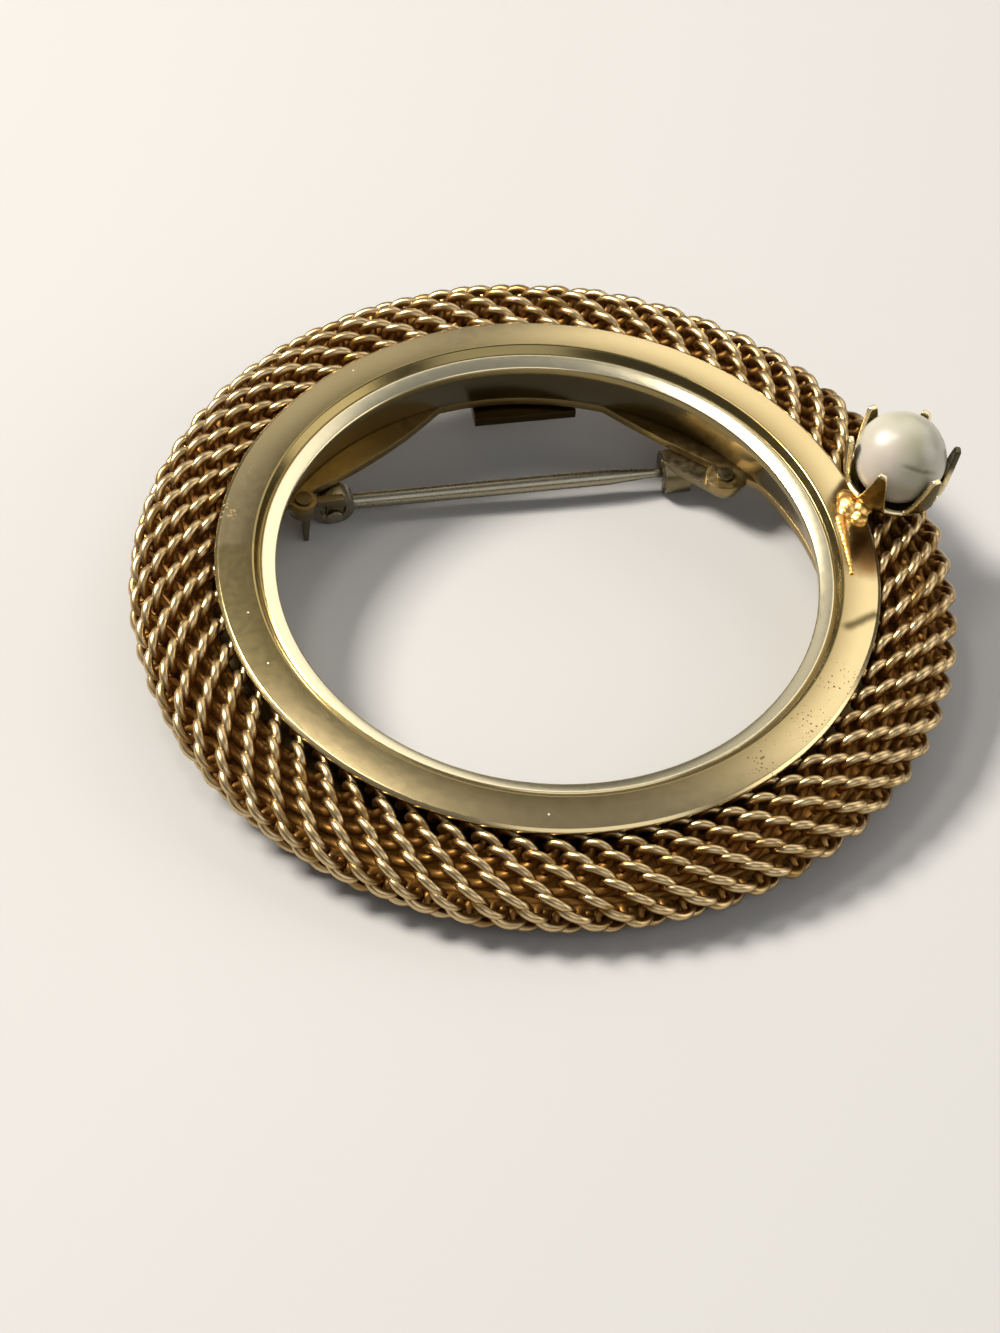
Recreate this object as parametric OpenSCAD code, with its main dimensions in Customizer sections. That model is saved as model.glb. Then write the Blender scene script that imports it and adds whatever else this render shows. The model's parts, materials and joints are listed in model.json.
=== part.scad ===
// Wreath brooch: a band of woven metal mesh on a stamped bezel, with a pearl in a six-pronged cup.
// The wreath is drawn flat first: its back lies on z = 0, +Z is its front and the pin runs along X
// on the far side. It is then leaned back to the way it lies on a surface, on its hinge, its catch
// and the near edge of its mesh.

/* [Wreath] */
// Outer diameter of the mesh band
wreath_d = 40; // [39:0.1:41]
// Width of the mesh band, from its hidden inner edge to its outer edge
mesh_w = 6; // [5.8:0.1:6.2]
// Height of the mesh band
mesh_h = 3.7; // [3.6:0.02:3.72]
// Thickness of the woven mesh
mesh_t = 0.9; // [0.7:0.05:1]
// Diameter of the opening at the bezel's lip
opening_d = 26; // [25.8:0.1:26.2]
// Height of the bezel's lip above the back
lip_h = 3.85; // [3.8:0.05:3.9]
// Thickness of the bezel's sheet metal
sheet_t = 0.4; // [0.3:0.02:0.42]

/* [Back] */
// Thickness of the back ring
back_t = 0.45; // [0.4:0.05:0.5]
// Outer diameter of the back ring
back_d = 33.8; // [33:0.2:34]
// Distance from the middle of the ledge that carries the catch
ledge_r = 13.05; // [12.95:0.05:13.15]
// Length of the bare plaque at the back
plaque_l = 5.1; // [4.5:0.1:5.3]

/* [Pearl] */
// Diameter of the pearl
pearl_d = 4.5; // [4.4:0.05:4.5]
// Number of prongs on the cup
prongs = 6; // [5:1:7]
// Lean of the cup away from the middle, in degrees
cup_lean = 8; // [6:1:9]

/* [Pin] */
// Diameter of the pin stem
stem_d = 0.8; // [0.7:0.05:0.85]
// Distance from the hinge's rivet to the middle of the catch
pin_span = 17.3; // [17.2:0.1:17.5]
// Diameter of the hinge's rivet
rivet_d = 0.5; // [0.4:0.05:0.5]
// Outer diameter of the stem's eye
eye_d = 2.2; // [2:0.1:2.2]

/* [Hidden] */
$fn = 96;
gap = 0.03;
run_gap = 0.05;

// Sections of the ring, as distances from its axis
wreath_r = wreath_d / 2;
mesh_r = wreath_r - mesh_w / 2;
lip_r = opening_d / 2;
foot_r = lip_r + 0.95;
ridge_r = lip_r + 1.3;
band_r = lip_r + 2.95;
ridge_h = lip_h + 0.4;
band_h = lip_h + 0.05;
band_edge = 0.3;
bead_r = 0.22;

// The pin's line, below the back of the wreath
find_y = 9.6;
find_z = -1.2;
hinge_x = -pin_span / 2;
catch_x = pin_span / 2;
drop = eye_d / 2 - find_z;

// Hinge: two ears, one on each side of the stem's eye
eye_w = 0.8;
eye_bore = rivet_d + 2 * run_gap;
ear_t = 0.4;
ear_y = eye_w / 2 + run_gap;
post_r = 0.42;
plate_t = 0.4;
plate_z = -gap - plate_t;
head_t = 0.12;
head_step = 0.15;
stop_l = 1.75;
stop_w = 0.95;
stop_t = 0.22;

// Rivets that hold the findings under their ledges, and the ledges' tabs round them
hinge_rivet_x = -10.3;
hinge_rivet_y = 8.6;
catch_turn = -45;
catch_rivet_l = 2.83;
catch_rivet_x = catch_x + catch_rivet_l * cos(catch_turn);
catch_rivet_y = find_y + catch_rivet_l * sin(catch_turn);
tenon_r = 0.3;
tenon_head_r = 0.42;
tenon_head_t = 0.1;
tab_r = 0.65;
catch_tab_r = 0.95;

// Catch: a shell round the stem's end, open away from the back, and the drum that turns in it
shell_r = 1.1;
shell_t = 0.22;
shell_l = 1.3;
drum_r = shell_r - shell_t - gap;
base_w = 1.5;
web_w = 0.9;
lever_r = 0.7;
lever_l = 1.55;
lever_w = 0.64;
lever_t = 0.35;
bed_r = 0.5;
slot_w = 1;

// Pearl and cup: places in the flat ring's frame
pearl_x = 17.72;
pearl_y = 2.86;
pearl_z = 6.15;
pearl_turn = atan2(pearl_y, pearl_x);
cup_gap = 0.04;
cup_t = 0.28;
cup_r = pearl_d / 2 + cup_gap;
cup_corner_r = 2.08;
cup_corner_z = -1.65;
prong_h = 0.95;
prong_tip_r = 2.55;
prong_tip_w = 0.3;
prong_turn = -7;
foot_x = 15.5;
foot_y = 1.7;
solder_r = 0.6;

// Lean: the lowest points of the pin's findings and of the mesh come to one level
mesh_a = mesh_w / 2;
mesh_b = mesh_h / 2;
lean_0 = atan(drop / (find_y + mesh_r));
mesh_reach = sqrt(pow(mesh_a * sin(lean_0), 2) + pow(mesh_b * cos(lean_0), 2));
rest_r = mesh_r + mesh_a * mesh_a * sin(lean_0) / mesh_reach;
rest_z = mesh_b - mesh_b * mesh_b * cos(lean_0) / mesh_reach;
lean = atan((drop + rest_z) / (find_y - eye_w / 2 + rest_r));
lift = rest_r * sin(lean) - rest_z * cos(lean);

// Middle of the whole on the surface: the mesh at the left and the cup at the right give the ends in X
right_x = pearl_x + (prong_tip_r + cup_t) * cos(cup_lean) + prong_h * sin(cup_lean);
middle_x = (right_x - wreath_r) / 2;
middle_y = -mesh_b * sin(lean);

module placed() {
    translate([-middle_x, -middle_y, lift]) rotate([lean, 0, 0]) children();
}

// Outline of half an ellipse-shaped section, from angle a0 to a1
function arc_points(a, b, a0, a1, steps) =
    [for (i = [0 : steps]) let (t = a0 + (a1 - a0) * i / steps) [mesh_r + a * cos(t), mesh_b + b * sin(t)]];

module bezel_profile() {
    t = sheet_t;
    polygon([
        [foot_r, back_t + gap], [lip_r, lip_h - bead_r], [lip_r + 0.3, lip_h], [lip_r + 0.55, lip_h - 0.05],
        [ridge_r, ridge_h], [band_r, band_h], [band_r, band_h - band_edge], [ridge_r + 0.1, ridge_h - t],
        [lip_r + 0.7, lip_h - t - 0.1], [lip_r + t + 0.05, lip_h - t - 0.3], [foot_r + t, back_t + gap]
    ]);
    translate([lip_r + bead_r, lip_h - bead_r]) circle(r = bead_r);
}

module mesh_profile() {
    cut_r = mesh_r - mesh_a - 1;
    difference() {
        polygon(arc_points(mesh_a, mesh_b, -180, 180, 44));
        polygon(arc_points(mesh_a - mesh_t, mesh_b - mesh_t, -180, 180, 36));
        // Its inner side is open, where the bezel's wall closes it
        translate([cut_r, -1]) square([mesh_t + 1.2, mesh_h + 2]);
        // It is pressed thinner over the back ring
        translate([cut_r, -1]) square([back_d / 2 + gap - cut_r, 1 + back_t + gap]);
    }
}

module on_pearl() {
    translate([pearl_x, pearl_y, pearl_z]) rotate([0, 0, pearl_turn]) rotate([0, cup_lean, 0]) children();
}

// Half section of the cup: a dish under the pearl whose rim rises in prongs that stand off the pearl
module cup_profile() {
    floor_z = -cup_r;
    waist_r = 2.38;
    waist_z = -0.6;
    polygon([
        [0, floor_z], [1, floor_z + 0.02], [cup_corner_r, cup_corner_z], [waist_r, waist_z],
        [prong_tip_r, prong_h], [prong_tip_r + cup_t, prong_h], [waist_r + cup_t, waist_z],
        [cup_corner_r + cup_t, cup_corner_z - 0.1], [1.1, floor_z - cup_t], [0, floor_z - cup_t]
    ]);
}

// The cut between two prongs: round at its foot and wider towards the tips
module prong_cut() {
    pitch = 2 * prong_tip_r * sin(180 / prongs);
    foot_z = -1.1;
    foot_w = 0.55;
    rotate([90, 0, 90]) linear_extrude(4) {
        polygon([[-foot_w, foot_z], [foot_w, foot_z], [(pitch - prong_tip_w) / 2, prong_h + 0.1],
                 [-(pitch - prong_tip_w) / 2, prong_h + 0.1]]);
        translate([0, foot_z]) circle(r = foot_w);
    }
}

module cup() {
    on_pearl() difference() {
        rotate([0, 0, 11]) rotate_extrude() cup_profile();
        for (i = [0 : prongs - 1])
            rotate([0, 0, prong_turn - pearl_turn + (i + 0.5) * 360 / prongs]) prong_cut();
    }
}

// Solder between the bezel's flat band and the corner of the cup above it
module cup_foot() {
    translate([foot_x, foot_y, mesh_h + gap]) cylinder(r = solder_r, h = 0.95);
}

module bezel_ring() {
    color("darkkhaki") placed() union() {
        rotate([0, 0, 97]) rotate_extrude($fn = 180) bezel_profile();
        difference() {
            union() {
                cup_foot();
                cup();
            }
            translate([pearl_x, pearl_y, pearl_z]) sphere(r = cup_r);
            // The cup's floor is flat where it stands over the mesh
            translate([pearl_x, pearl_y, mesh_h + gap - 1]) cylinder(r = 2 * cup_r, h = 1);
        }
    }
}

module mesh_band() {
    color("peru") placed() rotate_extrude($fn = 180) mesh_profile();
}

// A ledge across the edge of the opening, on the side that faces the given direction. Its inner edge
// is an arc that bulges towards the middle, and flatter the larger its radius is.
module ledge(turn, edge_r, arc_r) {
    rotate([0, 0, turn]) translate([edge_r + arc_r, 0]) circle(r = arc_r, $fn = 360);
}

// A round-ended tab from the ring inwards to a rivet, a little narrower where it leaves the ring
module tab(x, y, r) {
    neck = r - 0.04;
    translate([x, y]) circle(r = r);
    rotate([0, 0, atan2(y, x)]) translate([norm([x, y]), -neck]) square([2, 2 * neck]);
}

module back_outline() {
    difference() {
        circle(d = back_d, $fn = 180);
        difference() {
            circle(r = foot_r, $fn = 180);
            ledge(121, ledge_r - 0.4, 27);
            ledge(48, ledge_r, 60);
            tab(hinge_rivet_x, hinge_rivet_y, tab_r);
            tab(catch_rivet_x, catch_rivet_y, catch_tab_r);
        }
        translate([hinge_rivet_x, hinge_rivet_y]) circle(r = tenon_r + 0.01);
        translate([catch_rivet_x, catch_rivet_y]) circle(r = tenon_r + 0.01);
    }
}

module back_ring() {
    plaque_x = 1.75;
    plaque_y = 14.25;
    plaque_w = 1.9;
    plaque_t = 0.5;
    solder_t = 0.22;
    color("tan") placed() union() {
        linear_extrude(back_t) back_outline();
        translate([plaque_x - plaque_l / 2, plaque_y - plaque_w / 2, -solder_t - plaque_t])
            cube([plaque_l, plaque_w, plaque_t]);
        translate([plaque_x, plaque_y + 0.5, -solder_t - 0.1]) cylinder(r = 0.65, h = solder_t + 0.2);
    }
}

// A rivet through a ledge: its shank and its round head on the front
module tenon(x, y) {
    translate([x, y, plate_z]) cylinder(r = tenon_r, h = back_t + gap - plate_z);
    translate([x, y, back_t + gap]) cylinder(r = tenon_head_r, h = tenon_head_t);
}

// Side view of one ear: an arm from the plate and a narrow post that ends round the rivet
module ear_profile() {
    difference() {
        union() {
            translate([-1.4, -find_z + plate_z]) square([1.4 + post_r, plate_t]);
            translate([-post_r, 0]) square([2 * post_r, -find_z + plate_z + 0.01]);
            circle(r = post_r);
        }
        circle(d = rivet_d + 0.02);
    }
}

module hinge_base() {
    color("rosybrown") placed() union() {
        for (side = [0, 1]) translate([hinge_x, find_y + ear_y + ear_t - side * (2 * ear_y + ear_t), find_z])
            rotate([90, 0, 0]) linear_extrude(ear_t) ear_profile();
        translate([hinge_x - eye_d / 2 - 1.75, find_y - ear_y - ear_t, plate_z])
            cube([1.65, 2 * (ear_y + ear_t), plate_t]);
        // Foot of the plate round its rivet
        translate([hinge_rivet_x, hinge_rivet_y, plate_z]) cylinder(r = tab_r, h = plate_t);
        // The stop: a tongue bent down behind the eye
        translate([hinge_x - eye_d / 2 - 0.45, hinge_rivet_y - 0.45, plate_z - stop_l])
            cube([stop_t, stop_w, stop_l + 0.1]);
        tenon(hinge_rivet_x, hinge_rivet_y);
    }
}

module hinge_rivet() {
    half = ear_y + ear_t + gap;
    color("lightgray") placed() translate([hinge_x, find_y, find_z]) rotate([90, 0, 0]) {
        cylinder(d = rivet_d, h = 2 * half, center = true);
        for (side = [-1, 1]) translate([0, 0, side * (half + head_t / 2)])
            cylinder(d = rivet_d + 2 * head_step, h = head_t, center = true);
    }
}

module pin_stem() {
    stem_r = stem_d / 2;
    taper_x = pin_span - 3.4;
    tip_x = pin_span + 1.1;
    tip_r = 0.08;
    dish_t = 0.2;
    color("silver") placed() translate([hinge_x, find_y, find_z]) difference() {
        union() {
            rotate([90, 0, 0]) cylinder(d = eye_d, h = eye_w, center = true);
            rotate([0, 90, 0]) cylinder(r = stem_r, h = taper_x);
            translate([taper_x, 0, 0]) rotate([0, 90, 0])
                cylinder(r1 = stem_r, r2 = tip_r, h = tip_x - taper_x);
            translate([tip_x, 0, 0]) sphere(r = tip_r);
        }
        rotate([90, 0, 0]) cylinder(d = eye_bore, h = eye_w + 1, center = true);
        // Both faces are dished round the rivet
        for (side = [-1, 1]) translate([0, side * eye_w / 2, 0]) rotate([90, 0, 0])
            cylinder(d = eye_d - 0.85, h = 2 * dish_t, center = true);
    }
}

module catch() {
    color("gray") placed() {
        translate([catch_x, find_y, find_z]) difference() {
            rotate([0, 90, 0]) cylinder(r = shell_r, h = shell_l, center = true);
            rotate([0, 90, 0]) cylinder(r = drum_r + gap, h = shell_l + 1, center = true);
            translate([-2, -slot_w / 2, -2]) cube([4, slot_w, 2]);
        }
        // Base under the ledge, and the web down to the shell
        difference() {
            union() {
                translate([catch_x, find_y, plate_z]) rotate([0, 0, catch_turn]) {
                    translate([-0.4, -base_w / 2, 0]) cube([catch_rivet_l + 0.4, base_w, plate_t]);
                    translate([catch_rivet_l, 0, 0]) cylinder(r = base_w / 2, h = plate_t);
                }
                translate([catch_x - shell_l / 2, find_y - web_w / 2, find_z + shell_r - shell_t])
                    cube([shell_l, web_w, -find_z - shell_r + shell_t - gap]);
            }
            translate([catch_x, find_y, find_z]) rotate([0, 90, 0])
                cylinder(r = drum_r + gap, h = 6, center = true);
        }
        tenon(catch_rivet_x, catch_rivet_y);
    }
}

module catch_lock() {
    color("dimgray") placed() translate([catch_x, find_y, find_z]) {
        difference() {
            union() {
                rotate([0, 90, 0]) cylinder(r = drum_r, h = shell_l + 0.1, center = true);
                // Thumb lever on the end away from the hinge
                translate([shell_l / 2, 0, 0]) rotate([0, 90, 0]) cylinder(r = lever_r, h = lever_t);
                translate([shell_l / 2 + 0.05, 0, -lever_w / 2]) cube([lever_t - 0.05, lever_l, lever_w]);
            }
            rotate([0, 90, 0]) cylinder(r = bed_r, h = 6, center = true);
            translate([-3, -bed_r, -3]) cube([6, 2 * bed_r, 3]);
        }
    }
}

module pearl() {
    color("ivory") placed() translate([pearl_x, pearl_y, pearl_z]) sphere(d = pearl_d);
}

bezel_ring();
mesh_band();
back_ring();
hinge_base();
hinge_rivet();
pin_stem();
catch();
catch_lock();
pearl();
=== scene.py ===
# %% [markdown]
# # A wreath brooch in woven gold mesh, with a pearl
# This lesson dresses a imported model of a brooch. A band of woven wire mesh lies round a stamped, satin
# bezel. A pearl sits in a pronged cup that is soldered to the bezel, and a pin runs across the back. The
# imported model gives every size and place, so the first step is to load it.

# %% Load the frame
import json
import math

import bmesh
import bpy
import numpy as np
from mathutils import Matrix, Vector, noise


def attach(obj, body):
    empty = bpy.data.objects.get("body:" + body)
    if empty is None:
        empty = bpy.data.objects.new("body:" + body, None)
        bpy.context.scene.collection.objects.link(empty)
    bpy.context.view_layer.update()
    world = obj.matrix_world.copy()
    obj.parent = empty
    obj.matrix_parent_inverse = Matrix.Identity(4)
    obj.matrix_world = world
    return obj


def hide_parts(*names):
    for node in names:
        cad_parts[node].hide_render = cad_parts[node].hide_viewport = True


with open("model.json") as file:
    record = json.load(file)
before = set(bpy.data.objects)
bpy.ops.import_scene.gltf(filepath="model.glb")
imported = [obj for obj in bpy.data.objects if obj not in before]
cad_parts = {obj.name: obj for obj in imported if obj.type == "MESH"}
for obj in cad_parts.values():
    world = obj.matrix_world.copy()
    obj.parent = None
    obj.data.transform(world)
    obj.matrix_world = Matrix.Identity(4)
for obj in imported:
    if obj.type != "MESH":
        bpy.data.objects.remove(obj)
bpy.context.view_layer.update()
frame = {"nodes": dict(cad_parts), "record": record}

MM = 0.001

# %% [markdown]
# ## The wreath's own frame
# The wreath is round, so its parts are easiest to draw flat: its back on z = 0, its front up and the pin
# along x. The real brooch leans back on its pin, so one function turns a flat place, in millimetres, into
# the place where it lies, in metres. The numbers are the same driving sizes that the model was built from:
# the lip at the opening, the ridge beside it and the band's outer edge, each as a radius and a height.

# %% Sizes and the move from flat to lying
LIP_R, LIP_H = 13.0, 3.85
RIDGE_R, RIDGE_H = LIP_R + 1.3, LIP_H + 0.4
BAND_R, BAND_H = LIP_R + 2.95, LIP_H + 0.05
HINGE_X, PIN_Y, PIN_Z = -8.65, 9.6, -1.2

pin_joint = next(j for j in frame["record"]["behaviour"]["joints"] if j["name"] == "pin_hinge")
LEAN = math.asin(pin_joint["axis"][2])


def turned(y, z):
    return y * math.cos(LEAN) - z * math.sin(LEAN), y * math.sin(LEAN) + z * math.cos(LEAN)


SHIFT = np.array(pin_joint["pos_m"]) / MM - (HINGE_X, *turned(PIN_Y, PIN_Z))


def lying(points):
    """Flat places in millimetres to lying places in metres."""
    p = np.atleast_2d(np.asarray(points, float))
    y, z = turned(p[:, 1], p[:, 2])
    return (np.stack([p[:, 0], y, z], 1) + SHIFT) * MM


def direction(flat):
    """A flat direction to a lying one, one long."""
    start, end = lying([(0, 0, 0), flat])
    return Vector(end - start).normalized()


print("lean in degrees:", round(math.degrees(LEAN), 2), "shift in mm:", SHIFT.round(3))

# %% [markdown]
# ## Camera
# The photograph was taken from about 26 cm with the lens looking down at 49 degrees to the wreath, and
# turned 16 degrees to its pin. A long lens keeps the near and far sides of the ring nearly the same size.
# The lens looks at the wreath's middle and is then turned a little, so that the ring sits where it does in
# the picture, with no lens shift.

# %% Work out the view
VIEW_AZIMUTH, VIEW_ELEVATION, VIEW_ROLL = (math.radians(v) for v in (-16.19, 49.32, 6.87))
VIEW_DISTANCE_MM, PX_PER_MM = 262.0, 20.948
IMAGE_W, IMAGE_H = 1000, 1333
MIDDLE_PX = (548.6, 567.5)

back_dir = np.array([math.sin(VIEW_AZIMUTH) * math.cos(VIEW_ELEVATION),
                     -math.cos(VIEW_AZIMUTH) * math.cos(VIEW_ELEVATION), math.sin(VIEW_ELEVATION)])
level_right = np.array([math.cos(VIEW_AZIMUTH), math.sin(VIEW_AZIMUTH), 0.0])
level_up = np.cross(back_dir, level_right)
right_dir = math.cos(VIEW_ROLL) * level_right + math.sin(VIEW_ROLL) * level_up
up_dir = -math.sin(VIEW_ROLL) * level_right + math.cos(VIEW_ROLL) * level_up
focal_px = PX_PER_MM * VIEW_DISTANCE_MM
look = (-back_dir * focal_px + right_dir * (IMAGE_W / 2 - MIDDLE_PX[0])
        - up_dir * (IMAGE_H / 2 - MIDDLE_PX[1]))
print("the lens looks along:", look.round(1))

# %% [markdown]
# A camera looks along its own -z with y up. Its axes are worked out from where the lens looks and what the
# picture has to its right, and set in one go. Aiming it by a constraint would leave its roll to chance.

# %% Place the camera
SENSOR_MM, CLIP_NEAR, CLIP_FAR = 36, 0.01, 10

view_z = -direction(look)
level = direction(right_dir)
view_x = (level - view_z * level.dot(view_z)).normalized()
view_y = view_z.cross(view_x)
eye = Vector(lying([np.array([0, 0, LIP_H]) + back_dir * VIEW_DISTANCE_MM])[0])
camera_data = bpy.data.cameras.new("camera")
camera_data.sensor_width = SENSOR_MM
camera_data.lens = focal_px * SENSOR_MM / IMAGE_H
camera_data.clip_start, camera_data.clip_end = CLIP_NEAR, CLIP_FAR
camera = bpy.data.objects.new("camera", camera_data)
bpy.context.scene.collection.objects.link(camera)
camera.matrix_world = Matrix.Translation(eye) @ Matrix((view_x, view_y, view_z)).transposed().to_4x4()
bpy.context.scene.camera = camera
print("lens in mm:", round(camera_data.lens, 1), "camera at:", [round(v, 3) for v in eye])

# %% [markdown]
# ## Colours and nodes
# Colours are written as hex, as a picture shows them, and one function turns them to the linear values that
# the shader works in. A finish is a small net of nodes. One function adds a node of any kind, sets its
# properties, fills its inputs with values or with other nodes' outputs, and hands on the output that the
# next node needs, so a finish reads from top to bottom like a recipe.


# %% Helpers for colours and nodes
def linear(hex_colour):
    parts = [int(hex_colour[i:i + 2], 16) / 255 for i in (1, 3, 5)]
    return tuple(p / 12.92 if p <= 0.04045 else ((p + 0.055) / 1.055) ** 2.4 for p in parts) + (1.0,)


def feed(mat, node, inputs):
    """Sets a node's inputs, by name or number, to values or to other nodes' outputs."""
    for key, value in inputs.items():
        if isinstance(value, bpy.types.NodeSocket):
            mat.node_tree.links.new(value, node.inputs[key])
        else:
            node.inputs[key].default_value = value


def add(mat, kind, inputs=None, out=0, stops=(), **settings):
    """Adds a node and returns one of its outputs. Settings are its properties; stops are the places and hex
    colours of a colour ramp."""
    node = mat.node_tree.nodes.new(kind)
    for key, value in settings.items():
        setattr(node, key, value)
    for number, (place, hex_colour) in enumerate(stops):
        elements = node.color_ramp.elements
        element = elements[number] if number < len(elements) else elements.new(place)
        element.position, element.color = place, linear(hex_colour)
    feed(mat, node, inputs or {})
    return node.outputs[out]


def new_material(name):
    mat = bpy.data.materials.new(name)
    mat.use_nodes = True
    return mat


def shade(mat, inputs):
    """Sets inputs of a material's own shader, and returns the shader's output."""
    shader = mat.node_tree.nodes["Principled BSDF"]
    feed(mat, shader, inputs)
    return shader.outputs[0]


print("gold in linear:", [round(v, 3) for v in linear("#D8B26A")])

# %% [markdown]
# ## Floor
# The floor is plain pale card, matt and slightly grey, so that it takes soft shadows and doesn't glare. It
# could be a thick slab, but one face is enough. Its underside is made clear, so that the back of the brooch
# can be looked at from below.

# %% Floor
FLOOR_HALF = 1.5
CORNERS = [(-1, -1), (1, -1), (1, 1), (-1, 1)]

floor_mesh = bpy.data.meshes.new("floor")
floor_mesh.from_pydata([(x * FLOOR_HALF, y * FLOOR_HALF, 0) for x, y in CORNERS], [], [(0, 1, 2, 3)])
floor = bpy.data.objects.new("floor", floor_mesh)
bpy.context.scene.collection.objects.link(floor)
card = new_material("plain pale card")
matt = shade(card, {"Base Color": linear("#B0AFAD"), "Roughness": 0.85})
underside = add(card, "ShaderNodeNewGeometry", out="Backfacing")
clear = add(card, "ShaderNodeBsdfTransparent")
either = add(card, "ShaderNodeMixShader", {0: underside, 1: matt, 2: clear})
feed(card, card.node_tree.nodes["Material Output"], {"Surface": either})
floor.data.materials.append(card)
print("floor:", FLOOR_HALF * 2, "m square")

# %% [markdown]
# ## Light
# Polished metal shows the room that it mirrors, so each light is a soft panel that one part of the brooch
# mirrors. The window stands high at the left, as in the photograph: it makes the bright arcs and throws the
# shadow to the lower right. A large panel at the right brightens the right of the bezel, a small high one
# gives the lip its white patch, and weak ones stand behind and at the side. The fill softens the near side.
# A pale sky, darker towards the floor, is mirrored everywhere else.


# %% Lights
def soft_light(name, at, size, watts, hex_colour):
    data = bpy.data.lights.new(name, "AREA")
    data.size, data.energy, data.color = size, watts, linear(hex_colour)[:3]
    lamp = bpy.data.objects.new(name, data)
    lamp.location = at
    lamp.rotation_mode = "QUATERNION"
    lamp.rotation_quaternion = (-Vector(at)).to_track_quat("-Z", "Y")
    bpy.context.scene.collection.objects.link(lamp)


soft_light("window", (-0.30, 0.17, 0.36), 0.14, 4.4, "#FFF9F0")
soft_light("right panel", (0.34, 0.36, 0.42), 0.56, 1.34, "#FFFAF2")
soft_light("high panel", (-0.12, 0.09, 0.44), 0.10, 0.4, "#FFFAF2")
soft_light("back panel", (-0.05, 0.55, 0.36), 0.26, 0.10, "#FFFAF2")
soft_light("fill", (0.08, -0.40, 0.34), 0.40, 0.56, "#F6F8FF")
soft_light("side panel", (0.42, -0.12, 0.17), 0.30, 0.6, "#FFFCF6")

world = bpy.data.worlds.new("studio")
bpy.context.scene.world = world
world.use_nodes = True
ways = add(world, "ShaderNodeTexCoord", out="Generated")
up = add(world, "ShaderNodeSeparateXYZ", {0: ways}, "Z")
sky = add(world, "ShaderNodeValToRGB", {"Fac": up},
          stops=[(0.0, "#6E6C66"), (0.35, "#8C8B88"), (0.8, "#BFC2C8")])
feed(world, world.node_tree.nodes["Background"], {"Color": sky, "Strength": 0.34})
bpy.context.scene.view_settings.view_transform = "Standard"

# %% [markdown]
# ## Satin gold plate
# The bezel is stamped brass, smoothed on a mop and then gold plated. Plate is thin and takes the surface of
# what lies under it, so the eye sees a soft sheen, not a mirror. A metal needs only a colour, a roughness
# and small bumps, and they could come from a photograph of the surface. Here noise makes them, because it
# has no seam and fits every size. Slow clouds, 9 mm across, vary the colour. The swirl marks of a mop are
# finer than a tenth of a millimetre, too fine to show, so they are drawn 0.385 mm wide.

# %% The plate as a recipe
CLOUD_MM, SWIRL_MM, SWIRL_DEEP_MM = 9.09, 0.3846, 0.01


def repeats(size_mm):
    """How often a pattern of that size repeats in a metre, which is what a noise node's Scale means."""
    return 1 / (size_mm * MM)


def satin_gold_plate(name, light, dark, rough_low, rough_high, marks=None):
    """Metal mopped and plated. Marks is a function that adds wear, and in places painted light, to it."""
    mat = new_material(name)
    place = add(mat, "ShaderNodeTexCoord", out="Object")
    clouds = add(mat, "ShaderNodeTexNoise", {"Vector": place, "Scale": repeats(CLOUD_MM), "Detail": 1.0})
    colour = add(mat, "ShaderNodeValToRGB", {"Fac": clouds}, stops=[(0.3, dark), (0.7, light)])
    swirls = add(mat, "ShaderNodeTexNoise", {"Vector": place, "Scale": repeats(SWIRL_MM), "Detail": 2.0,
                                             "Roughness": 0.6})
    rough = add(mat, "ShaderNodeMapRange", {"Value": swirls, "From Min": 0.3, "From Max": 0.7,
                "To Min": rough_low, "To Max": rough_high}, interpolation_type="SMOOTHSTEP")
    bump = add(mat, "ShaderNodeBump", {"Height": swirls, "Strength": 0.008, "Distance": SWIRL_DEEP_MM * MM})
    if marks:
        colour, rough, bump = marks(mat, place, colour, rough, bump)
    shade(mat, {"Metallic": 1.0, "Base Color": colour, "Roughness": rough, "Normal": bump})
    return mat


print("swirls in a metre:", round(repeats(SWIRL_MM)))

# %% [markdown]
# ### Marks at known places
# Wear isn't even: it sits where the brooch was handled or knocked, and the painted shade and reflections
# below sit at fixed places too. One helper makes a round mask about a point of the wreath, with an edge that
# a noise can make ragged, and another lays a colour over the finish where a mask is high. A mask could be
# painted, but one made from a place needs no picture.


# %% Helpers for marks
def away(mat, place, middle):
    """Distance in metres from a point of the flat wreath."""
    return add(mat, "ShaderNodeVectorMath", {0: place, 1: lying([middle])[0]}, "Value", operation="DISTANCE")


def round_mask(mat, place, middle, inner_mm, outer_mm, ragged=None, ragged_mm=0.0):
    """1 inside the inner radius about a point, 0 outside the outer one. A noise makes the edge ragged."""
    far = away(mat, place, middle)
    if ragged:
        far = add(mat, "ShaderNodeMath", {0: ragged, 1: ragged_mm * MM, 2: far}, operation="MULTIPLY_ADD")
    return add(mat, "ShaderNodeMapRange", {"Value": far, "From Min": outer_mm * MM,
               "From Max": inner_mm * MM}, interpolation_type="SMOOTHSTEP")


def tinted(mat, colour, mask, strength, hex_colour):
    """A colour with another laid over it where the mask is high."""
    cover = add(mat, "ShaderNodeMath", {0: mask, 1: strength}, operation="MULTIPLY")
    return add(mat, "ShaderNodeMix", {0: cover, 6: colour, 7: linear(hex_colour)}, 2, data_type="RGBA")


def on_band(radius, degrees):
    """A point on the bezel's flat band."""
    a = math.radians(degrees)
    height = np.interp(radius, [RIDGE_R, BAND_R], [RIDGE_H, BAND_H])
    return radius * math.cos(a), radius * math.sin(a), float(height)


print("a point on the band:", [round(v, 2) for v in on_band(BAND_R, 90)])
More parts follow.
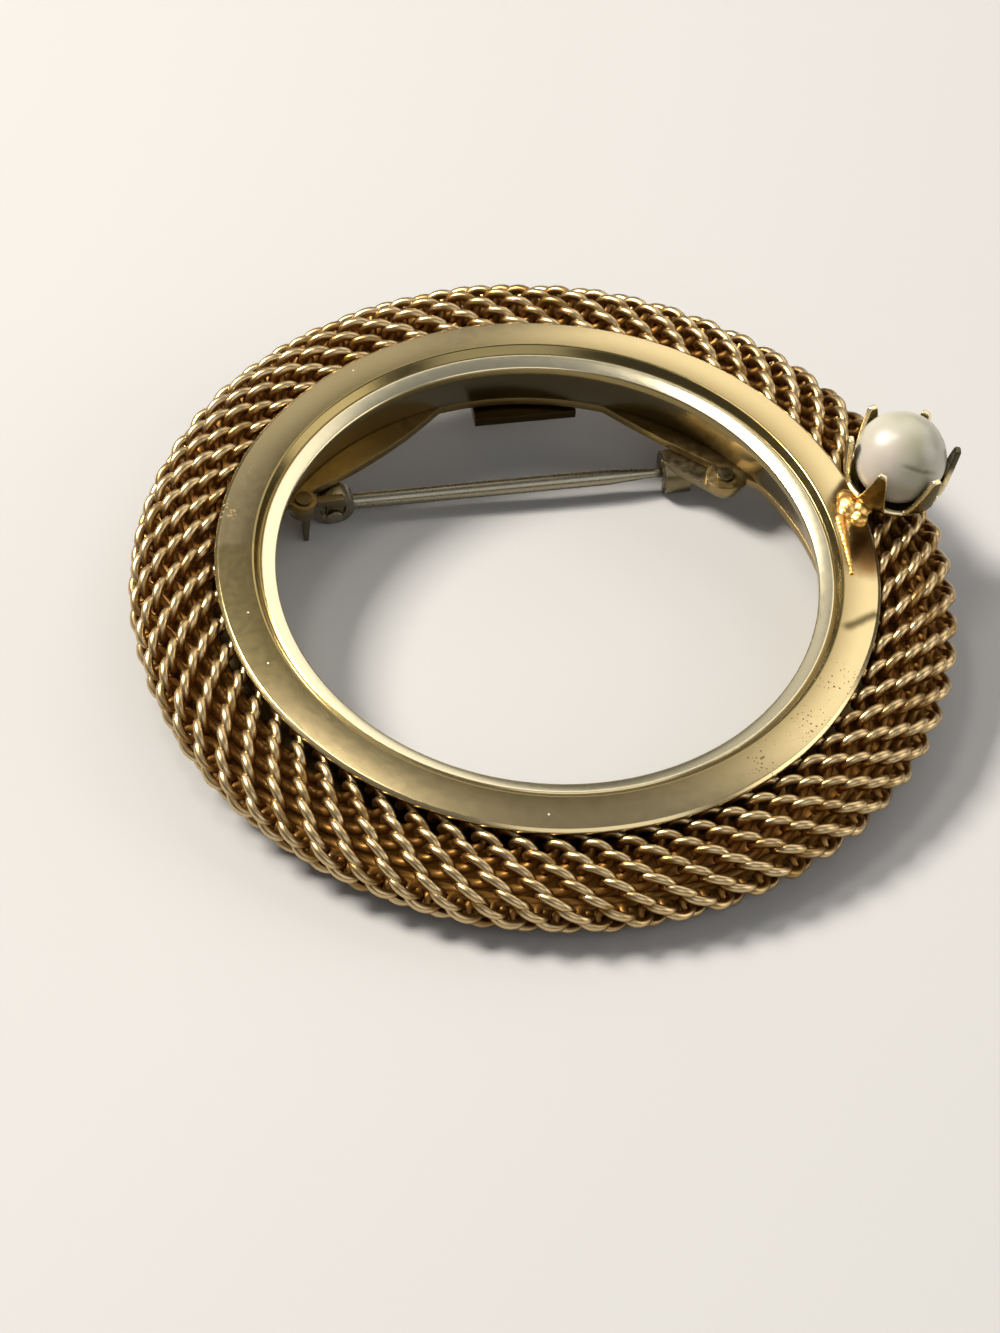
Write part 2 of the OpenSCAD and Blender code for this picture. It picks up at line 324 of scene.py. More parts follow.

# %% [markdown]
# ### Tone of the bezel
# The lip at the opening is rubbed pale by clothes and fingers, and its pale tint is also a painted highlight.
# The cove and the inner wall below the lip are darkened as painted shade. A stretch of the band at the left
# is darkened as a painted dark reflection that starts with a ragged end, and beside the cup a brown patch is
# a painted reflection and shadow of the cup. The bezel's mesh stores two numbers for this at each point: rub,
# how exposed it is, from 0 in the cove to 1 on the lip, and turn, its angle in degrees.

# %% Lip highlight, painted shade on the wall, painted dark reflection and the cup's painted reflection
RAGGED_MM, RAGGED_TURN = 1.4286, 4.0
DIM_REFLECTION_FROM, DIM_REFLECTION_FULL, DIM_REFLECTION_FADE, DIM_REFLECTION_TO = 169.3, 170.8, 189.0, 214.0
CUP_REFLECTION_AT = 15.5, -4.6


def toned_by_wear_and_light(mat, place, colour, rough, ragged):
    rub = add(mat, "ShaderNodeAttribute", out="Fac", attribute_name="rub")
    # The lip's pale tint is rub wear and a painted highlight.
    lip_rub_and_highlight = add(mat, "ShaderNodeMapRange", {"Value": rub, "From Min": 0.55, "From Max": 1.0},
              interpolation_type="SMOOTHSTEP")
    # The cove and the inner wall are darkened: painted shade.
    wall_shade = add(mat, "ShaderNodeMapRange", {"Value": rub, "From Min": 0.45, "From Max": 0.1},
               interpolation_type="SMOOTHSTEP")
    colour = tinted(mat, colour, lip_rub_and_highlight, 1.0, "#EADFBC")
    rough = add(mat, "ShaderNodeMath", {0: lip_rub_and_highlight, 1: 0.035, 2: rough}, operation="MULTIPLY_ADD")
    colour = tinted(mat, colour, wall_shade, 0.85, "#7A6A3E")

    turn = add(mat, "ShaderNodeAttribute", out="Fac", attribute_name="turn")
    uneven = add(mat, "ShaderNodeMath", {0: ragged, 1: RAGGED_TURN, 2: turn}, operation="MULTIPLY_ADD")
    # A stretch of the band at the left is darkened, away from the lip: a painted dark reflection.
    darkened = 1.0
    for value, none, full in ((uneven, DIM_REFLECTION_FROM, DIM_REFLECTION_FULL), (turn, DIM_REFLECTION_TO, DIM_REFLECTION_FADE), (rub, 0.6, 0.5)):
        limit = add(mat, "ShaderNodeMapRange", {"Value": value, "From Min": none, "From Max": full},
                    interpolation_type="SMOOTHSTEP")
        darkened = add(mat, "ShaderNodeMath", {0: darkened, 1: limit}, operation="MULTIPLY")
    colour = tinted(mat, colour, darkened, 0.7, "#A8945F")

    # Beside the solder: the cup's painted dark reflection and shadow on the band.
    cup_reflection = round_mask(mat, place, on_band(*CUP_REFLECTION_AT), 1.2, 2.5, ragged, 1.2)
    return tinted(mat, colour, cup_reflection, 0.85, "#7C5018"), rough


print("dull stretch in degrees:", DIM_REFLECTION_FROM, "to", DIM_REFLECTION_TO)

# %% [markdown]
# ### Pits and nicks
# Sweat has eaten fine pits into the band in two areas, at the upper left and at the lower right. They are
# cells of a Voronoi pattern 0.22 mm apart, each grown to a hole where a round mask is high. A few nicks show
# as bright dots. Both could be cut into the mesh, but they are far shallower than they are wide.

# %% Pits and nicks
PIT_AREAS = [(15.9, 150, 1.5), (15.5, 160, 1.3), (14.9, -60, 1.9), (14.9, -47, 2.1), (15.0, -36, 1.9)]
PIT_APART_MM, PIT_SIZE = 0.2174, 0.6
NICKS, NICK_R_MM = [(14.76, -175.4), (14.91, -163.1), (14.33, -58.4), (15.1, -101.0), (15.3, 118.0)], 0.05


def pits(mat, place, ragged):
    near = 0.0
    for radius, degrees, reach_mm in PIT_AREAS:
        spot = round_mask(mat, place, on_band(radius, degrees), 0.0, reach_mm)
        near = add(mat, "ShaderNodeMath", {0: near, 1: spot}, operation="MAXIMUM")
    varied = add(mat, "ShaderNodeMath", {0: ragged, 1: PIT_SIZE}, operation="MULTIPLY")
    size = add(mat, "ShaderNodeMath", {0: near, 1: varied}, operation="MULTIPLY")
    cells = add(mat, "ShaderNodeTexVoronoi", {"Vector": place, "Scale": repeats(PIT_APART_MM)}, "Distance")
    return add(mat, "ShaderNodeMath", {0: cells, 1: size}, operation="LESS_THAN")


def nicks(mat, place):
    found = 0.0
    for radius, degrees in NICKS:
        far = away(mat, place, on_band(radius, degrees))
        dot = add(mat, "ShaderNodeMath", {0: far, 1: NICK_R_MM * MM}, operation="LESS_THAN")
        found = add(mat, "ShaderNodeMath", {0: found, 1: dot}, operation="MAXIMUM")
    return found


print("pit areas:", len(PIT_AREAS), "nicks:", len(NICKS))

# %% [markdown]
# ### The ring's joint
# The ring was closed with a soldered joint, which shows as a soft dark line across the band. It is made from
# the distance to a straight line, with a noise that makes it sway, and a round mask ends it. Cut into the
# mesh, it would have hard sides.

# %% The joint's line
JOINT_ENDS = (14.42, -23.6), (15.85, -17.7)
LINE_REACH_MM, LINE_CORE_MM, SWAY_MM = 0.42, 0.02, 0.5


def joint_line(mat, place, ragged):
    first, last = (np.array(on_band(*end)) for end in JOINT_ENDS)
    middle = (first + last) / 2
    across = direction(np.cross(last - first, (0, 0, 1)))
    off = add(mat, "ShaderNodeVectorMath", {0: place, 1: lying([middle])[0]}, operation="SUBTRACT")
    side = add(mat, "ShaderNodeVectorMath", {0: off, 1: across}, "Value", operation="DOT_PRODUCT")
    sway = add(mat, "ShaderNodeMath", {0: ragged, 1: SWAY_MM * MM, 2: side}, operation="MULTIPLY_ADD")
    centred = add(mat, "ShaderNodeMath", {0: sway, 1: SWAY_MM / 2 * MM}, operation="SUBTRACT")
    far = add(mat, "ShaderNodeMath", {0: centred}, operation="ABSOLUTE")
    line = add(mat, "ShaderNodeMapRange", {"Value": far, "From Min": LINE_REACH_MM * MM,
               "From Max": LINE_CORE_MM * MM}, interpolation_type="SMOOTHSTEP")
    ends = round_mask(mat, place, middle, 0.8, 1.3)
    return add(mat, "ShaderNodeMath", {0: line, 1: ends}, operation="MULTIPLY")


print("joint from", JOINT_ENDS[0], "to", JOINT_ENDS[1])

# %% [markdown]
# ### The bezel's finish
# The marks are laid over the tone in the order in which they came: the joint's line, the pits, and then the
# nicks, which are bare bright metal. The line and the pits are also pressed in by a bump, and the pits and
# nicks are rougher than the plate.


# %% Put the bezel's finish together
def band_wear_and_light(mat, place, colour, rough, bump):
    ragged = add(mat, "ShaderNodeTexNoise", {"Vector": place, "Scale": repeats(RAGGED_MM), "Detail": 3.0})
    # The tone adds rub wear and painted highlight, shade and reflections.
    colour, rough = toned_by_wear_and_light(mat, place, colour, rough, ragged)
    line, holes, dots = joint_line(mat, place, ragged), pits(mat, place, ragged), nicks(mat, place)
    colour = tinted(mat, colour, line, 0.85, "#4C4020")
    colour = tinted(mat, colour, holes, 0.75, "#5C4A28")
    colour = tinted(mat, colour, dots, 0.6, "#FFF4D8")
    sunk = add(mat, "ShaderNodeMath", {0: holes, 1: line}, operation="MAXIMUM")
    bump = add(mat, "ShaderNodeBump", {"Height": sunk, "Normal": bump, "Strength": 0.35,
               "Distance": 0.03 * MM}, invert=True)
    scuffed = add(mat, "ShaderNodeMath", {0: dots, 1: holes}, operation="MAXIMUM")
    rough = add(mat, "ShaderNodeMath", {0: scuffed, 1: 0.3, 2: rough}, operation="MULTIPLY_ADD")
    return colour, rough, bump


bezel_gold = satin_gold_plate("satin gold plate, stamped", "#DAC594", "#D2BC8A", 0.2, 0.23, band_wear_and_light)
print("finish:", bezel_gold.name, "nodes:", len(bezel_gold.node_tree.nodes))

# %% [markdown]
# ## Pieces from points and faces
# Meshes here are made from arrays of points and faces, because every part follows a rule: a profile turned
# round an axis, a wire bent along a path or a sheet with cut edges. Blender's own turning tools could do
# much of it, but here each point can also carry a number that its finish reads, such as how rubbed it is.
# Each piece is attached to the moving part it rides on, and the imported part that it replaces is hidden.


# %% Helpers for pieces
def placed(name, mesh, body):
    """A smooth-shaded piece from a mesh, which rides on a body."""
    piece = bpy.data.objects.new(name, mesh)
    bpy.context.scene.collection.objects.link(piece)
    mesh.polygons.foreach_set("use_smooth", [True] * len(mesh.polygons))
    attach(piece, body)
    return piece


def new_piece(name, points, faces):
    mesh = bpy.data.meshes.new(name)
    mesh.from_pydata([tuple(p) for p in points], [], [tuple(int(i) for i in f) for f in faces])
    mesh.validate()
    mesh.update()
    return placed(name, mesh, "wreath")


def outward(piece):
    """Turns every face of a closed mesh to the outside."""
    bm = bmesh.new()
    bm.from_mesh(piece.data)
    bmesh.ops.recalc_face_normals(bm, faces=bm.faces)
    bm.to_mesh(piece.data)
    bm.free()


def store(piece, name, values):
    """Keeps a number with every point, for the finish to read."""
    piece.data.attributes.new(name, "FLOAT", "POINT").data.foreach_set("value", values)


def dress(piece, node, mat):
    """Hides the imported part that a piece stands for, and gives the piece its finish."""
    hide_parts(node)
    piece.data.materials.clear()
    piece.data.materials.append(mat)


print("packed parts to dress:", sorted(frame["nodes"]))

# %% [markdown]
# ## Profiles turned round an axis
# A stamped ring is one outline all the way round, so it is drawn once, its corners are rounded, and it is
# turned. A corner is rounded by a short curve between points on its two sides. The turned points form a
# grid, and each square of the grid is one face.


# %% Helpers for turned shapes
def filleted(corners, steps):
    """A closed outline with each corner rounded. A corner is (x, y, radius)."""
    out = []
    for k, (x, y, radius) in enumerate(corners):
        here = np.array([x, y])
        if radius <= 0:
            out.append(here)
            continue
        before = np.array(corners[k - 1][:2]) - here
        after = np.array(corners[(k + 1) % len(corners)][:2]) - here
        la, lb = np.linalg.norm(before), np.linalg.norm(after)
        before, after = before / la, after / lb
        half = math.acos(np.clip(before @ after, -1, 1)) / 2
        back = min(radius / math.tan(half), 0.45 * la, 0.45 * lb)
        start, end = here + before * back, here + after * back
        out += [(1 - t) ** 2 * start + 2 * t * (1 - t) * here + t * t * end for t in np.linspace(0, 1, steps)]
    return np.array(out)


def grid_faces(rows, cols, closed_rows=False):
    """Four-sided faces over a grid of points stored row by row. Each row closes on itself."""
    rr, cc = np.meshgrid(np.arange(rows if closed_rows else rows - 1), np.arange(cols), indexing="ij")
    r1, c1 = (rr + 1) % rows, (cc + 1) % cols
    return np.stack([rr * cols + cc, rr * cols + c1, r1 * cols + c1, r1 * cols + cc], -1).reshape(-1, 4)


def turned_ring(outline, steps, wobble=None):
    """Points and faces of a closed outline of (r, z) turned round the wreath's axis."""
    rings = []
    for a in np.linspace(0, 2 * math.pi, steps, endpoint=False):
        r, z = outline[:, 0], outline[:, 1]
        if wobble:
            r, z = wobble(a, r, z)
        rings.append(np.stack([r * math.cos(a), r * math.sin(a), z], 1))
    return np.concatenate(rings), grid_faces(steps, len(outline), True)


print("faces of a small grid, 3 by 4:", len(grid_faces(3, 4)))

# %% [markdown]
# ## Bezel
# The bezel is stamped from sheet 0.4 mm thick. From the opening outwards it has a lip that slopes towards
# the opening, a steep cove, a ridge, and a flat band that falls to a rolled outer edge. Its inner wall
# widens towards the back. It could be a flat strip with a thickness added, but one closed outline gives the
# sheet's own thickness and edges at every bend.

# %% Draw the bezel's outline
SHEET = 0.4
FOOT_R, FOOT_H = LIP_R + 0.95, 0.48
LIP_W, LIP_LOW, LIP_HIGH, LIP_CROWN = 0.62, -0.15, 0.075, 0.02
COVE_R, COVE_H = LIP_R + 0.78, LIP_H - 0.01
CREST_R, CREST_H = LIP_R + 1.1, LIP_H + 0.385

crown = [(LIP_R + LIP_W * t, LIP_H + LIP_LOW + (LIP_HIGH - LIP_LOW) * t + LIP_CROWN * 4 * t * (1 - t), 0)
         for t in np.linspace(0.02, 1, 11)]
bezel_outline = filleted([
    (FOOT_R, FOOT_H, 0.05), (LIP_R, LIP_H - 0.55, 0.3), (LIP_R - 0.005, LIP_H - 0.22, 0.04), *crown,
    (LIP_R + 0.68, LIP_H + 0.08, 0.05), (COVE_R, COVE_H, 0.08), (CREST_R, CREST_H, 0.16),
    (BAND_R - 0.17, BAND_H + 0.066, 0.1), (BAND_R, BAND_H - 0.06, 0.1), (BAND_R, BAND_H - 0.27, 0.1),
    (RIDGE_R + 0.1, RIDGE_H - SHEET, 0.1), (LIP_R + 0.7, LIP_H - SHEET - 0.1, 0.1),
    (LIP_R + SHEET + 0.05, LIP_H - SHEET - 0.3, 0.1), (FOOT_R + SHEET, FOOT_H, 0.05)], steps=7)
print("points in the outline:", len(bezel_outline))

# %% [markdown]
# The edge of a hand-finished ring is never quite round, so it is let waver by a few hundredths of a
# millimetre as the outline turns. Waves of 3, 7 and 13 to the turn don't line up, so no rhythm shows.

# %% Turn the bezel
BEZEL_STEPS = 480
RUB_OUT_MM = [0.0, 0.05, 0.6, 0.7, 0.76, 1.08, 1.2, 1.5]
RUB_THERE = [0.6, 1, 1, 0.7, 0, 0, 0.25, 0.5]
WALL_BELOW_MM, WALL_SHADE_RUB = 0.19, 0.12


def waver(a, r, z):
    edge = np.clip((r - RIDGE_R) / (BAND_R - RIDGE_R), 0, 1)
    drift = 0.02 * math.sin(3 * a + 0.6) + 0.012 * math.sin(7 * a + 2.0) + 0.008 * math.sin(13 * a)
    return r + edge * drift, z + edge * 0.0075 * math.sin(5 * a + 1.1)


points, faces = turned_ring(bezel_outline, BEZEL_STEPS, waver)
bezel = new_piece("bezel", lying(points), faces)
outward(bezel)
degrees_round = np.degrees(np.linspace(0, 2 * math.pi, BEZEL_STEPS, endpoint=False))
store(bezel, "turn", np.repeat(degrees_round, len(bezel_outline)))
rub_line = np.interp(bezel_outline[:, 0] - LIP_R, RUB_OUT_MM, RUB_THERE)
# Points of the inner wall get a low value, which brings the wall's painted shade.
rub_line[bezel_outline[:, 1] < LIP_H - WALL_BELOW_MM] = WALL_SHADE_RUB
store(bezel, "rub", np.tile(rub_line, BEZEL_STEPS))
dress(bezel, "bezel_ring", bezel_gold)
print("bezel faces:", len(bezel.data.polygons))

# %% [markdown]
# ## Drawn gold wire
# The mesh is woven from drawn brass wire, plated bright. Its crests are rubbed pale, and deep between the
# wires a brown patina of wax and old polish covers the plate, so the colour runs from brown to pale gold
# with height; the dark brown low down is also painted shade in the weave's recesses. Each point of the weave
# stores that height as crest, and a grain of 1.1 mm breaks the change up. Patina is no metal, so low down
# the finish is half metallic and rough, and on the crests it is bright.

# %% Finish of the wire
GRAIN_MM, GRAIN_SHARE = 1.1111, 0.2

wire_gold = new_material("bright gold-plated wire, drawn")
crest = add(wire_gold, "ShaderNodeAttribute", out="Fac", attribute_name="crest")
place = add(wire_gold, "ShaderNodeTexCoord", out="Object")
grain = add(wire_gold, "ShaderNodeTexNoise", {"Vector": place, "Scale": repeats(GRAIN_MM), "Detail": 3.0})
level = add(wire_gold, "ShaderNodeMath", {0: grain, 1: GRAIN_SHARE, 2: crest}, operation="MULTIPLY_ADD")
# Colour by height: patina and painted shade low down, pale gold on the crests.
colour = add(wire_gold, "ShaderNodeValToRGB", {"Fac": level},
             stops=[(0.35, "#7E5618"), (0.66, "#8A6431"), (0.9, "#987A4C"), (1.0, "#C8AE80")])
bare = add(wire_gold, "ShaderNodeMapRange", {"Value": level, "From Min": 0.3, "From Max": 0.7,
                                             "To Min": 0.5, "To Max": 1.0})
rough = add(wire_gold, "ShaderNodeMapRange", {"Value": level, "From Min": 0.4, "From Max": 1.0,
                                              "To Min": 0.5, "To Max": 0.31})
shade(wire_gold, {"Base Color": colour, "Metallic": bare, "Roughness": rough})
print("finish:", wire_gold.name)

# %% [markdown]
# ## Woven mesh
# The band is a tube of woven wire: flattened coils side by side, each hooked through the next, as in a
# wire fence. The coils run outwards over the band. A coil's front strands all slant one way, and each ends
# where the next coil's front strand starts, so the eye reads them as slanting ropes. A pattern on a smooth
# band would look flat at its edge, so every coil is modelled, as a thin tube swept along a flattened helix.
# First comes the skin that the coils follow, an oval laid round the ring.

# %% The skin that the coils follow
MESH_MID_R, MESH_A, MESH_B = 17.0, 3.0, 1.85
COILS = 122
ROW_MM, FIRST_ROW_MM = 0.775, -0.45
WIRE_R, COIL_B = 0.24, 0.51
SKIN_FROM, SKIN_TO, SKIN_ZERO = (math.radians(v) for v in (135, -95, 118))
SKIN_STEPS, SKIN_INSET = 2400, 0.1

fine = np.linspace(SKIN_FROM, SKIN_TO, SKIN_STEPS)
arc = np.concatenate([[0], np.cumsum(np.hypot(np.diff((MESH_A - SKIN_INSET) * np.cos(fine)),
                                              np.diff((MESH_B - SKIN_INSET) * np.sin(fine))))])
arc -= np.interp(-SKIN_ZERO, -fine, arc)
TURNS = (arc[-1] - FIRST_ROW_MM) / (2 * ROW_MM)


def skin(theta, s):
    """Place, outward normal, outward run, round-the-ring direction and radius in the middle of the weave."""
    f = np.interp(s, arc, fine)
    r, z = MESH_MID_R + MESH_A * np.cos(f), MESH_B + MESH_B * np.sin(f)
    radial = np.stack([np.cos(theta), np.sin(theta), np.zeros_like(theta)], -1)
    around = np.stack([-np.sin(theta), np.cos(theta), np.zeros_like(theta)], -1)
    nr, nz = np.cos(f) / MESH_A, np.sin(f) / MESH_B
    size = np.hypot(nr, nz)
    upward = np.array([0, 0, 1.0])
    normal = (nr / size)[:, None] * radial + (nz / size)[:, None] * upward
    place = r[:, None] * radial + z[:, None] * upward - normal * (COIL_B + WIRE_R)
    return place, normal, np.cross(around, normal), around, r


print("arc over the band in mm:", round(arc[-1], 2), "turns of a coil:", round(TURNS, 2))

# %% [markdown]
# Every second coil starts half a turn later, so that its bends meet its neighbours' bends and the wires
# hook round each other. Small random changes of width and height keep the weave from looking machine
# perfect. The draws come from one seeded source, so they are the same in every run.

# %% The path of one coil
ROPE_SLANT, HOOK, STRAIGHT = 0.46, 0.745, 0.1
WEAVE_TURN = math.radians(258.6)
TURN_STEPS = 24
LOOSE_WIDTH, LOOSE_HEIGHT, LOOSE_LIFT = 0.06, 0.02, 0.02
rng = np.random.default_rng(7)


def coil_path(k):
    odd = k % 2
    t = np.linspace(0, TURNS - 0.5 * odd, int((TURNS - 0.5 * odd) * TURN_STEPS) + 1)
    column = 4 * math.pi / COILS
    drift = (2 * ROPE_SLANT - 1) * column
    theta = WEAVE_TURN + (k // 2 + ROPE_SLANT * odd) * column + drift * t
    place, normal, along, around, r = skin(theta, FIRST_ROW_MM + (2 * t + odd) * ROW_MM)
    axis = along * 2 * ROW_MM + around * (drift * r)[:, None]
    axis /= np.linalg.norm(axis, axis=1)[:, None]
    across = np.cross(normal, axis)
    across *= np.sign((across * around).sum(1))[:, None]
    phase = 2 * math.pi * t
    swing = (1 - STRAIGHT) * np.cos(phase) + STRAIGHT * (1 - 2 * np.arccos(np.cos(phase)) / math.pi)
    knots = np.arange(int(TURNS) + 2)
    loose, lift = (np.interp(t, knots, rng.normal(0, 1, len(knots))) for _ in range(2))
    half_w = HOOK * column / 2 * r * (1 + LOOSE_WIDTH * loose)
    height = (COIL_B + LOOSE_LIFT * lift) * np.sin(phase) + LOOSE_HEIGHT * loose
    return place - across * (half_w * swing)[:, None] + normal * height[:, None], place, normal


print("coils:", COILS, "wire width in mm:", 2 * WIRE_R)

# %% [markdown]
# A wire is a round tube along its path. A bevelled curve would give one too, but its points couldn't store
# how near they lie to the crest of the weave. The ring of points is carried along the path without twist:
# each one starts from the last one's side and is only leaned to stay square to the path.


# %% A tube along a path
def tube(path, radius, sides):
    run = np.gradient(path, axis=0)
    run /= np.linalg.norm(run, axis=1)[:, None]
    side = np.cross(run[0], [0.3, 0.2, 1.0])
    first = []
    for t in run:
        side = side - t * (side @ t)
        side /= np.linalg.norm(side)
        first.append(side)
    first = np.array(first)
    second = np.cross(run, first)
    angles = np.linspace(0, 2 * math.pi, sides, endpoint=False)[None, :, None]
    ring = np.cos(angles) * first[:, None, :] + np.sin(angles) * second[:, None, :]
    points = (path[:, None, :] + radius * ring).reshape(-1, 3)
    caps = [list(range(sides))[::-1], list(range(len(points) - sides, len(points)))]
    return points, grid_faces(len(path), sides).tolist() + caps


corner, corner_faces = tube(np.array([(0.0, 0, 0), (1, 0, 0), (1, 1, 0)]), WIRE_R, 4)
print("a short tube has", len(corner), "points and", len(corner_faces), "faces")

# %% [markdown]
# The coils are swept in two pieces, the even ones and the odd ones, to keep each under 200,000 triangles.
# Each strand also gets its own tone, because real strands aren't rubbed alike.

# %% Sweep the coils
WIRE_SIDES, TONE_CHANGE, CREST_TOP = 9, 0.09, 1.1

for half, name in enumerate(("mesh_weave_even", "mesh_weave_odd")):
    weave_points, weave_faces, weave_crest, count = [], [], [], 0
    for k in range(half, COILS, 2):
        path, place, normal = coil_path(k)
        points, faces = tube(path, WIRE_R, WIRE_SIDES)
        height = ((points.reshape(len(path), WIRE_SIDES, 3) - place[:, None, :]) * normal[:, None, :]).sum(-1)
        knots = np.arange(0, len(path) + TURN_STEPS, TURN_STEPS / 2)
        tone = np.interp(np.arange(len(path)), knots, rng.normal(0, TONE_CHANGE, len(knots)))
        crest = 0.5 + 0.5 * height / (COIL_B + WIRE_R) + tone[:, None]
        weave_crest.append(np.clip(crest, 0, CREST_TOP).ravel())
        weave_points.append(points)
        weave_faces += [[i + count for i in face] for face in faces]
        count += len(points)
    resting = lying(np.concatenate(weave_points))
    resting[:, 2] = np.maximum(resting[:, 2], 0)
    weave = new_piece(name, resting, weave_faces)
    store(weave, "crest", np.concatenate(weave_crest))
    dress(weave, "mesh_band", wire_gold)
    print(name, "coils:", COILS // 2, "faces:", len(weave_faces))

# %% [markdown]
# ## Lining
# Behind the coils the band is hollow and dark, and old wax has browned the wires' inner sides. Modelling
# each hidden side would double the weave. A thin closed shell inside the coils, in the patina's colour with
# darker patches of 1.7 mm, stands for that shade and keeps light from passing straight through.

# %% Lining
LINING_IN, LINING_T, LINING_STEPS, PATCH_MM = 1.52, 0.1, 180, 1.6667
LINING_FROM, LINING_TO = 135, -118

patina = new_material("brown patina, shaded lining")
place = add(patina, "ShaderNodeTexCoord", out="Object")
patches = add(patina, "ShaderNodeTexNoise", {"Vector": place, "Scale": repeats(PATCH_MM), "Detail": 2.0})
colour = add(patina, "ShaderNodeValToRGB", {"Fac": patches}, stops=[(0.35, "#8E5C14"), (0.65, "#A6701C")])
shade(patina, {"Base Color": colour, "Roughness": 0.7})


def section(inset, start, stop):
    f = np.radians(np.linspace(start, stop, 40))
    return np.stack([MESH_MID_R + (MESH_A - inset) * np.cos(f), MESH_B + (MESH_B - inset) * np.sin(f)], 1)


lining_outline = np.concatenate([section(LINING_IN, LINING_FROM, LINING_TO),
                                 section(LINING_IN + LINING_T, LINING_TO, LINING_FROM)])
points, faces = turned_ring(lining_outline, LINING_STEPS)
lining = new_piece("mesh_lining", lying(points), faces)
outward(lining)
dress(lining, "mesh_band", patina)
print("lining faces:", len(lining.data.polygons))

# %% [markdown]
# ## Cup
# The cup is pressed from sheet 0.26 mm thick and cut into six prongs that stand off the pearl. They lean
# round the cup, so each notch is steep on one side and sweeps up on the other. It could be cut from a solid
# with many booleans, but every direction round the cup has just one rim height. So the sheet is built as
# columns that each run from the floor to the rim: first the profile and the rim's height in each direction.

# %% Profile and rim of the cup
PEARL_AT, PEARL_D = (17.72, 2.86, 6.15), 4.5
PRONGS, PRONG_TURN = 6, math.radians(-7)
CUP_R, PRONG_H, TIP_R = PEARL_D / 2 + 0.04, 0.95, 2.55
NOTCH_Z, NOTCH_W, STEEP_W, SWEEP_W = -1.5, 0.5, 0.4, 0.9
COLUMNS = 80

profile_z = np.array([-CUP_R, -CUP_R + 0.03, -1.95, -1.65, -1.2, -0.6, 0.2, PRONG_H])
profile_r = np.array([0.0, 0.9, 1.75, 2.08, 2.27, 2.38, 2.47, TIP_R])
profile_s = np.concatenate([[0], np.cumsum(np.hypot(np.diff(profile_r), np.diff(profile_z)))])


def rim_height(offset):
    """Height of the rim at a distance along the circumference from a notch, anticlockwise positive."""
    steep = NOTCH_Z + (PRONG_H - NOTCH_Z) * max(0, (-NOTCH_W - offset) / STEEP_W) ** 1.2
    sweep = NOTCH_Z + (PRONG_H - NOTCH_Z) * max(0, (offset - NOTCH_W) / SWEEP_W) ** 1.5
    return min(PRONG_H, max(steep, sweep))


pearl_turn = math.atan2(PEARL_AT[1], PEARL_AT[0])
pitch = 2 * math.pi / PRONGS
shares = np.arange(COLUMNS) / COLUMNS - 0.5
notch_shift = (SWEEP_W - STEEP_W) / 2 / TIP_R
notch_middles = PRONG_TURN - pearl_turn - notch_shift + (np.arange(PRONGS) + 0.5) * pitch
cup_angles = (notch_middles[:, None] + shares * pitch).ravel()
cup_rims = np.tile([rim_height(share * pitch * TIP_R) for share in shares], PRONGS)
cup_rims = sum(np.roll(cup_rims, d) for d in (-2, -1, 0, 1, 2)) / 5
rim_s = np.interp(cup_rims, profile_z[1:], profile_s[1:])
print("rim from", round(cup_rims.min(), 2), "to", round(cup_rims.max(), 2), "mm from the pearl's middle")

# %% [markdown]
# The inside is followed by its length along the profile, smoothed so that no corner shows. The same columns,
# pushed out by the sheet's thickness, give the outside, and rows between them round the cut edge. Each point
# of that edge is marked as rim, for its finish.

# %% Points of the cup
CUP_T, EDGE_BULGE, ROW_STEPS = 0.26, 0.06, 26


def on_cup(s):
    """Radius and height on the cup's inside, a distance s along its profile from the middle."""
    nearby = [np.abs(s + d) for d in np.linspace(-0.15, 0.15, 5)]
    return (np.mean([np.interp(n, profile_s, profile) for n in nearby], axis=0)
            for profile in (profile_r, profile_z))


def pushed(s, share):
    """A point on the cup's sheet, a share of its thickness out from its inside."""
    r, z = on_cup(s)
    r2, z2 = on_cup(s + 0.02)
    d = np.hypot(r2 - r, z2 - z) + 1e-9
    return r + (z2 - z) / d * CUP_T * share, z - (r2 - r) / d * CUP_T * share


levels = np.linspace(0.06, 1, ROW_STEPS)
cup_rows = ([pushed(rim_s * t, 0) for t in levels] + [pushed(rim_s + EDGE_BULGE, w) for w in (0.2, 0.5, 0.8)]
            + [pushed(rim_s * t, 1) for t in levels[::-1]])
rim_rows = [0.0] * (ROW_STEPS - 1) + [0.8, 1, 1, 1, 0.8] + [0.0] * (ROW_STEPS - 1)
cup_points = np.concatenate([np.stack([r * np.cos(cup_angles), r * np.sin(cup_angles), z], 1)
                             for r, z in cup_rows])
n_cols = len(cup_angles)
cup_faces = grid_faces(len(cup_rows), n_cols).tolist()
cup_faces.append(list(range(n_cols)))
cup_faces.append(list(range(len(cup_points) - n_cols, len(cup_points)))[::-1])
print("cup rows:", len(cup_rows), "columns:", n_cols)

# %% [markdown]
# The pressed cup is the same plate, made darker as painted shade. Its cut edges are rubbed pale and carry a
# painted highlight, and one prong at the right is painted nearly black as painted shade. The cup leans
# outwards by 8 degrees with the pearl, and its floor is kept clear of the mesh.

# %% Press the cup
CUP_LEAN, CUP_CLEAR = math.radians(8), 0.03
SHADED_PRONG = 20.15, 3.0, 6.6


